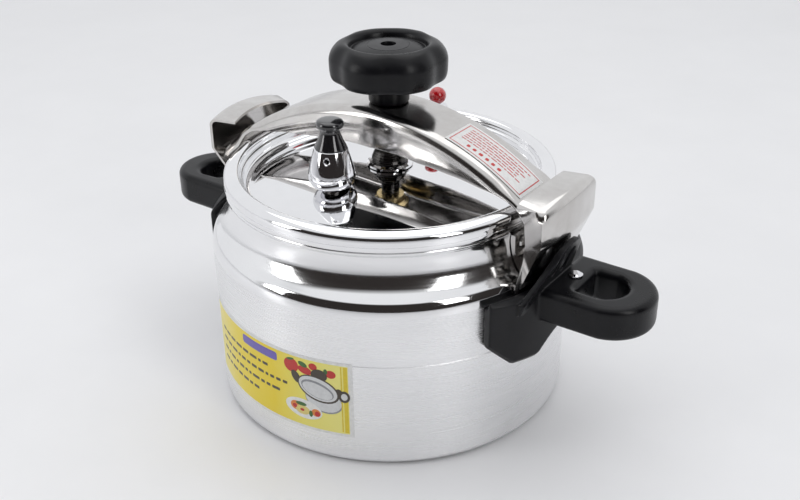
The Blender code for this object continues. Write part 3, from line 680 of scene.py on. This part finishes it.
def make_knob(mat):
    top = KNOB_TOP_Z
    disc = smooth([(4.6, top - 1.7, 0.0), (5.2, top - 1.55, 0.0), (12.0, top - 1.9, 0.0)], 3)
    disc += [(12.3, top - 2.15, 0.0), (12.6, top - 2.0, 0.0)]
    disc += smooth([(13.0, top - 2.05, 0.0), (18.0, top - 3.0, 0.0), (21.4, top - 4.4, 0.0)], 4)
    side = smooth([(22.0, top - 4.2, 0.0), (22.9, top - 1.6, 0.0), (25.4, top, 0.1), (29.4, top - 1.2, 0.7),
                   (32.6, top - 4.6, 1.0), (34.2, top - 8.2, 1.0), (34.5, top - 11.8, 1.0),
                   (34.2, top - 17.8, 1.0), (33.2, top - 20.8, 1.0), (31.5, top - 21.8, 0.9),
                   (28.0, top - 21.8, 0.5)], 6)
    hub = [(14.5, top - 21.8, 0.0), (12.8, top - 22.2, 0.0), (12.3, top - 23.5, 0.0), (12.0, 183.2, 0.0),
           (11.5, 182.5, 0.0), (6.3, 182.5, 0.0), (6.3, 207.0, 0.0), (4.5, 207.0, 0.0),
           (4.5, top - 2.0, 0.0)]
    levels = [knob_ring(r, z, 2.4 * share) for r, z, share in disc + side + hub]
    knob = skin("knob_moulding", levels, [mat], closed=True)
    return settle(knob, "knob", "black_bakelite", "knob")


# ---------------------------------------------------------------- handles

def wing_profile(deg):
    """Section of the part of a handle that hugs the pot, at an angle from its centre line."""
    share = abs(deg) / 27.0
    outer = 124.0 - 7.5 * share ** 1.5
    bottom = 60.0 + 14.0 * max(0.0, 1.0 - (share / 0.42) ** 2) + 14.0 * max(0.0, share - 0.72) / 0.28
    inner = POT_R + 0.4
    return [(inner, bottom + 1.5), (inner + 1.2, bottom), (outer - 2.5, bottom), (outer, bottom + 3.0),
            (outer, 100.5), (max(outer - 2.2, 115.4), 103.0), (114.8, 103.0), (113.2, 98.5), (inner, 98.2)]


def loop_outline(spline, points):
    spline.points.add(len(points) - 1)
    for point, (x, y) in zip(spline.points, points):
        point.co = (x * MM, y * MM, 0, 1)
    spline.use_cyclic_u = True


def make_loop():
    """The finger loop: a flat outline with a hole, its edges rounded."""
    edge = 4.0
    outer = [(121.5, 22)] + arc((HANDLE_TIP - edge - 22.0, 0), 22.0, 80, -80, 40) + [(121.5, -22)]
    hole = arc((144, 0), 18.0, 80, -80, 32)
    hole += arc((136, -11), 6.0, -100, -180, 8) + arc((136, 11), 6.0, 180, 100, 8)
    curve = bpy.data.curves.new("loop", "CURVE")
    curve.dimensions = "2D"
    curve.fill_mode = "BOTH"
    curve.extrude = (20.5 / 2 - edge) * MM
    curve.bevel_depth = edge * MM
    curve.bevel_resolution = 5
    loop_outline(curve.splines.new("POLY"), outer)
    loop_outline(curve.splines.new("POLY"), hole)
    guide = bpy.data.objects.new("loop_guide", curve)
    guide.location.z = 94.25 * MM
    bpy.context.scene.collection.objects.link(guide)
    bpy.context.view_layer.update()
    graph = bpy.context.evaluated_depsgraph_get()
    mesh = bpy.data.meshes.new_from_object(guide.evaluated_get(graph))
    mesh.transform(guide.matrix_world)
    bpy.data.objects.remove(guide)
    bm = bmesh.new()
    bm.from_mesh(mesh)
    bmesh.ops.remove_doubles(bm, verts=bm.verts, dist=0.00001)
    bmesh.ops.recalc_face_normals(bm, faces=bm.faces)
    bm.to_mesh(mesh)
    bm.free()
    loop = bpy.data.objects.new("loop", mesh)
    bpy.context.scene.collection.objects.link(loop)
    return loop


def slanted_prism(name, outline, inside, outside):
    """A plate that leans like the clamp head: outline is (y, z), thickness is along x."""
    def lean(z):
        return HEAD_FOOT_R + LEAN * (z - HEAD_FOOT_Z) + 1.4
    return skin(name, [[(lean(z) + offset, y, z) for y, z in outline] for offset in (inside, outside)], [])


def slot_outline(y, bottom, top, radius):
    return arc((y, top), radius, 0, 180, 12) + arc((y, bottom), radius, 180, 360, 12)


def merged(shell, *others):
    """Adds other closed shells to a piece's mesh."""
    bm = bmesh.new()
    for part in (shell, *others):
        bm.from_mesh(part.data)
    bm.to_mesh(shell.data)
    bm.free()
    for part in others:
        bpy.data.objects.remove(part)


def make_tongue():
    """The slotted guard that stands up inside a clamp head."""
    dome = arc((TONGUE_Y, 116.0), 15.0, 20, 150, 24)
    outline = [(11, 93), (11, 104)] + dome + [(-36, 105), (-40, 100), (-40, 93)]
    tongue = slanted_prism("tongue", outline, 0, 4.0)
    windows = [slanted_prism("window", slot_outline(y, bottom, 122.0, 2.9), -3, 7)
               for y, bottom in ((-4.5, 111.0), (-16.5, 113.0))]
    for window in windows:
        boolean(tongue, window)
    return applied(tongue, *windows)


def make_handles(mat):
    wings = sector("handle_moulding_right", wing_profile, -27.0, 27.0, 54, [mat])
    merged(wings, make_loop(), make_tongue())
    remesh = wings.modifiers.new("skin", "REMESH")
    remesh.mode = "VOXEL"
    remesh.voxel_size = 0.55 * MM
    soften = wings.modifiers.new("soften", "SMOOTH")
    soften.factor = 0.5
    soften.iterations = 5
    applied(wings)
    wings.data.materials.clear()
    wings.data.materials.append(mat)
    wings.data.shade_smooth()
    left = half_turned(wings, "handle_moulding_left")
    settle(wings, "pot", "black_bakelite", "handle_right")
    settle(left, "pot", "black_bakelite", "handle_left")


# ---------------------------------------------------------------- prints

def on_wall(along, z, up):
    """A point on the pot's wall, from millimetres along the label."""
    return polar(POT_R + up, LABEL_START_DEG + math.degrees(along / 110.4), z)


def on_bow(x, y, up):
    """A point on top of the bow."""
    angle = math.asin(x / BOW_R)
    return ((BOW_R + up) * math.sin(angle), y, BOW_CROWN_Z - BOW_R + (BOW_R + up) * math.cos(angle))


def ellipse(x, y, across, tall, tilt=0.0, steps=28):
    """Grid of points over an ellipse: rings of points, from its edge to its middle."""
    turn = math.radians(tilt)
    grid = []
    for share in (1.0, 0.66, 0.33):
        ring = []
        for i in range(steps):
            a = 2 * math.pi * i / steps
            u, v = across * share * math.cos(a), tall * share * math.sin(a)
            ring.append((x + u * math.cos(turn) - v * math.sin(turn),
                         y + u * math.sin(turn) + v * math.cos(turn)))
        grid.append(ring)
    return grid + [[(x, y)]]


def bar(x0, x1, y0, y1, radius=0.0):
    """The same for a bar, with rounded corners if it has a radius."""
    radius = max(radius, 0.02)
    corners = ((x1 - radius, y1 - radius, 0), (x0 + radius, y1 - radius, 90),
               (x0 + radius, y0 + radius, 180), (x1 - radius, y0 + radius, 270))
    outline = []
    for cx, cy, start in corners:
        outline += arc((cx, cy), radius, start, start + 90, 4)
    edge = []
    for (xa, ya), (xb, yb) in zip(outline, outline[1:] + outline[:1]):
        parts = max(1, round(math.hypot(xb - xa, yb - ya) / 2.5))
        edge += [(xa + (xb - xa) * i / parts, ya + (yb - ya) * i / parts) for i in range(parts)]
    mid = (y0 + y1) / 2
    spine = [(min(max(px, x0 + (y1 - y0) / 2), x1 - (y1 - y0) / 2) if x1 - x0 > y1 - y0 else (x0 + x1) / 2,
              mid if x1 - x0 > y1 - y0 else min(max(py, y0 + (x1 - x0) / 2), y1 - (x1 - x0) / 2))
             for px, py in edge]
    return [edge, spine]


def printed(name, shapes, mat, place, level, body, slot):
    """Thin closed films on a sheet: one for each shape, at a level above it."""
    bm = bmesh.new()
    for grid in shapes:
        top = [[bm.verts.new(place(x, y, level)) for x, y in ring] for ring in grid]
        under = [[bm.verts.new(place(x, y, level - 0.05)) for x, y in ring] for ring in grid]
        for rings in (top, under):
            for first, second in zip(rings, rings[1:]):
                bridge(bm, first, second)
        bridge(bm, top[0], under[0])
    bmesh.ops.remove_doubles(bm, verts=bm.verts, dist=0.004)
    bmesh.ops.recalc_face_normals(bm, faces=bm.faces)
    return settle(mesh_object(name, bm, [mat], 60.0), body, slot)


def film(name, x_range, y_range, place, low_up, high_up, mat, steps=40):
    """A sheet that follows a curved surface."""
    sections = []
    for i in range(steps + 1):
        x = x_range[0] + (x_range[1] - x_range[0]) * i / steps
        sections.append([place(x, y, up) for up, y in ((low_up, y_range[0]), (low_up, y_range[1]),
                                                       (high_up, y_range[1]), (high_up, y_range[0]))])
    return skin(name, sections, [mat])


def words(rng, start, end, y, thick, shortest, longest):
    """A line of print, as a row of dashes."""
    shapes = []
    x = start
    while x < end - shortest:
        length = min(rng.uniform(shortest, longest), end - x)
        shapes.append(bar(x, x + length, y - thick / 2, y + thick / 2, thick * 0.3))
        x += length + thick * 0.8
    return shapes


def make_label(paper, ground, inks):
    """Generic picture label: a golden field with dashes, tomatoes, a pot and a dish."""
    sheet = film("label_sheet", (0, LABEL_ARC), (LABEL_LOW_Z, LABEL_HIGH_Z), on_wall, 0.05, 0.2, paper, 60)
    settle(sheet, "pot", "label_print", "body_label")
    field = film("label_field", (1.8, LABEL_ARC - 2.6), (LABEL_LOW_Z + 1.9, LABEL_HIGH_Z - 1.9), on_wall,
                 0.15, 0.24, ground, 60)
    settle(field, "pot", "label_print")
    base = LABEL_LOW_Z - 19.0
    rng = random.Random(5)
    lines = []
    for start, end, z in ((11, 65, 53.5), (11, 79, 46.8), (11, 73, 39.8), (11, 55, 32.8)):
        lines += words(rng, start, end, z + base, 1.9, 2.2, 7.0)
    black = [ellipse(100.5, 58.3, 5.0, 4.0), ellipse(85.6, 53.6, 2.6, 4.4, 30),
             ellipse(115.2, 46.6, 3.4, 3.9),
             ellipse(99.5, 48.6, 13.2, 8.2, -16), ellipse(112.0, 48.6, 2.4, 2.8)]
    jobs = [
        ("title", "violet", 0.28, [bar(42, 72.5, 59.3, 65.0, 1.6)]),
        ("lines", "black", 0.28, lines),
        ("stripes", "gold", 0.28, [bar(113.4, 114.2, 22, 66.6), bar(115.0, 117.4, 21.6, 66.6)]),
        ("tomatoes", "red", 0.28, [ellipse(82.6, 60.6, 4.9, 4.7), ellipse(91.6, 59.6, 4.6, 2.6, -10),
                                   ellipse(96.9, 63.2, 2.6, 2.3), ellipse(107.6, 60.4, 3.1, 2.6)]),
        ("leaves", "green", 0.32, [ellipse(82.2, 64.6, 2.6, 0.8, 12), ellipse(90.4, 63.2, 3.0, 1.6, -20),
                                   ellipse(104.6, 61.6, 1.2, 1.9)]),
        ("pot_shadow", "shade", 0.28, [ellipse(102.6, 41.4, 11.6, 8.2, -12)]),
        ("pot_side", "silver", 0.32, [ellipse(102.4, 42.0, 11.2, 7.8, -12)]),
        ("pot_black", "black", 0.36, black),
        ("pot_rim", "silver", 0.40, [ellipse(99.3, 48.8, 12.2, 7.2, -16), ellipse(115.3, 46.6, 1.9, 2.3)]),
        ("pot_dish", "shade", 0.43, [ellipse(99.0, 48.2, 10.4, 5.4, -16)]),
        ("pot_lid", "silver", 0.46, [ellipse(99.0, 47.6, 9.6, 4.5, -16)]),
        ("plate", "white", 0.36, [ellipse(89.3, 32.6, 12.2, 6.6, -4)]),
        ("plate_food", "orange", 0.40, [ellipse(84.6, 33.4, 3.9, 3.2), ellipse(97.6, 31.8, 2.9, 2.6)]),
        ("plate_rice", "cream", 0.43, [ellipse(88.8, 31.6, 4.8, 3.2)]),
        ("plate_greens", "green", 0.45, [ellipse(88.0, 35.6, 3.6, 1.3), ellipse(94.2, 30.4, 1.2, 2.2)]),
        ("plate_reds", "red", 0.47, [ellipse(98.4, 31.2, 1.7, 1.8), ellipse(83.6, 33.0, 1.5, 1.4),
                                     ellipse(88.6, 31.6, 1.4, 0.9)]),
    ]
    for name, color, level, shapes in jobs:
        printed("label_" + name, shapes, inks[color], on_wall, level, "pot", "label_print")


def make_sticker(paper, red_ink):
    """Generic notice on the bow: a red frame, a heading bar and rows of dashes."""
    (x0, x1), (y0, y1) = STICKER_X, STICKER_Y
    settle(film("notice_sheet", STICKER_X, STICKER_Y, on_bow, 0.1, 0.25, paper), "bow", "caution_print",
           "caution_sticker")
    frame_lines = [bar(x0 + 1.6, x1 - 1.6, y0 + 1.6, y0 + 2.1), bar(x0 + 1.6, x1 - 1.6, y1 - 2.1, y1 - 1.6),
                   bar(x0 + 1.6, x0 + 2.1, y0 + 2.1, y1 - 2.1), bar(x1 - 2.1, x1 - 1.6, y0 + 2.1, y1 - 2.1)]
    rng = random.Random(11)
    rows = words(rng, x0 + 11, x1 - 13, y0 + 5.6, 2.4, 1.6, 2.4)
    for i in range(6):
        rows += words(rng, x0 + 5, x1 - 5 - rng.uniform(0, 7), y0 + 9.6 + i * 2.3, 0.75, 1.4, 4.4)
    printed("notice_print", frame_lines + rows, red_ink, on_bow, 0.3, "bow", "caution_print")


# ---------------------------------------------------------------- studio

def area_light(name, at, size, power, color=(1, 1, 1)):
    data = bpy.data.lights.new(name, "AREA")
    data.shape = "RECTANGLE"
    data.size, data.size_y = size
    data.energy = power
    data.color = color
    light = bpy.data.objects.new(name, data)
    light.location = at
    light.rotation_euler = (Vector((0, 0, 0.1)) - Vector(at)).to_track_quat("-Z", "Y").to_euler()
    bpy.context.scene.collection.objects.link(light)
    return light


def make_world(front):
    """Pale studio: white overhead and behind, dark on the camera's side up to steep angles."""
    world = bpy.data.worlds.new("studio")
    bpy.context.scene.world = world
    world.use_nodes = True
    tree = world.node_tree
    tree.nodes.clear()
    where = add(tree, "ShaderNodeTexCoord").outputs["Generated"]
    height = add(tree, "ShaderNodeSeparateXYZ", {"Vector": where}).outputs["Z"]
    facing = add(tree, "ShaderNodeVectorMath", {0: where, 1: (front[0], front[1], 0.0)},
                 operation="DOT_PRODUCT").outputs["Value"]
    in_front = spread(tree, facing, 0.02, 0.30, 0.0, 1.0)
    under = spread(tree, height, 0.62, 0.78, 1.0, 0.0)
    dark = maths(tree, "MULTIPLY", in_front, under)
    color = ramp(tree, dark, [(0.0, (0.86, 0.87, 0.89)), (1.0, (0.030, 0.026, 0.025))])
    pale = add(tree, "ShaderNodeBackground", {"Color": (0.86, 0.87, 0.89, 1.0), "Strength": 1.0}).outputs[0]
    room = add(tree, "ShaderNodeBackground", {"Color": color, "Strength": 1.0}).outputs[0]
    seen = add(tree, "ShaderNodeLightPath").outputs["Is Camera Ray"]
    mixed = add(tree, "ShaderNodeMixShader", {0: seen, 1: room, 2: pale}).outputs[0]
    out = add(tree, "ShaderNodeOutputWorld")
    tree.links.new(mixed, out.inputs["Surface"])


def make_floor(mat):
    bm = bmesh.new()
    bmesh.ops.create_grid(bm, x_segments=1, y_segments=1, size=6000.0)
    floor = mesh_object("table", bm, [mat])
    floor.location.z = -0.4 * MM


def make_camera():
    """Looks down past the front of the pot, slightly rolled."""
    place = Vector((342.5, -470.7, 394.0)) * MM
    forward = Vector((-0.5119, 0.7176, -0.4722)).normalized()
    right = Vector((0.8141, 0.5807, 0.0)).normalized()
    up = right.cross(forward)
    roll = math.radians(-0.601)
    level, tilt = math.cos(roll), math.sin(roll)
    right, up = right * level + up * tilt, up * level - right * tilt
    camera = bpy.data.objects.new("camera", bpy.data.cameras.new("camera"))
    camera.data.lens = 46.98
    camera.data.sensor_width = 36.0
    camera.data.clip_start = 0.01
    camera.matrix_world = Matrix.Translation(place) @ Matrix((right, up, -forward)).transposed().to_4x4()
    bpy.context.scene.collection.objects.link(camera)
    bpy.context.scene.camera = camera
    return Vector((-forward.x, -forward.y)).normalized()


def dress(mat, *nodes):
    """Gives CAD nodes that stay a finished material."""
    for node in nodes:
        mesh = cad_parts[node].data
        mesh.materials.clear()
        mesh.materials.append(mat)
        mesh.shade_smooth()
        mesh.set_sharp_from_angle(angle=math.radians(35))


STEEL = polished_steel()
CHROME = chrome()
MIRROR = mirror_aluminium()
BLACK = bakelite()
PAPER = ink("label_paper", (0.84, 0.84, 0.83))
RED_INK = ink("red_ink", (0.58, 0.025, 0.02))
INKS = {"violet": ink("violet_ink", (0.16, 0.12, 0.50)), "black": ink("black_ink", (0.06, 0.045, 0.03)),
        "gold": ink("gold_ink", (0.80, 0.62, 0.03)), "red": RED_INK,
        "green": ink("green_ink", (0.05, 0.16, 0.03)),
        "shade": ink("shade_ink", (0.30, 0.31, 0.33)), "silver": ink("silver_ink", (0.72, 0.73, 0.74)),
        "white": ink("white_ink", (0.88, 0.88, 0.86)), "orange": ink("orange_ink", (0.80, 0.26, 0.05)),
        "cream": ink("cream_ink", (0.80, 0.66, 0.22))}

settle(make_pot(satin_aluminium()), "pot", "satin_aluminium", "pot_body")
settle(make_lid(MIRROR), "lid", "polished_aluminium", "lid")
make_weight(CHROME, glossy_bakelite())
make_signal(CHROME, red_gloss())
make_bow(STEEL)
make_heads(STEEL)
make_knob(BLACK)
make_handles(BLACK)
make_label(PAPER, label_ground(), INKS)
make_sticker(PAPER, RED_INK)

dress(MIRROR, "lid_centre_boss")
dress(rubber(), "lid_gasket", "signal_seal")
dress(brass(), "bow_bush")
dress(dark_steel(), "pressure_foot", "spindle")
dress(CHROME, "signal_washer", "handle_screw_right", "handle_screw_left")
dress(STEEL, "ear_right", "ear_left", "ear_rivet_right_front", "ear_rivet_right_back",
      "ear_rivet_left_front",
      "ear_rivet_left_back", "handle_bracket_right", "handle_bracket_left", "vent_pipe", "vent_lock_nut",
      "signal_lock_nut", "signal_clip", "weight_needle")
for hard_edged in ("vent_lock_nut", "signal_lock_nut", "lid_centre_boss"):
    add_bevel(hard_edged, 0.4)

FRONT = make_camera()
make_world(FRONT)
make_floor(table_top())
area_light("overhead", (-0.2, 0.3, 1.6), (1.6, 1.6), 7.0)
area_light("left_box", (-0.75, -1.05, 0.55), (0.35, 0.8), 3.5)
area_light("right_box", (1.15, -0.35, 0.7), (0.35, 0.8), 3.5)
bpy.context.scene.view_settings.view_transform = "Standard"
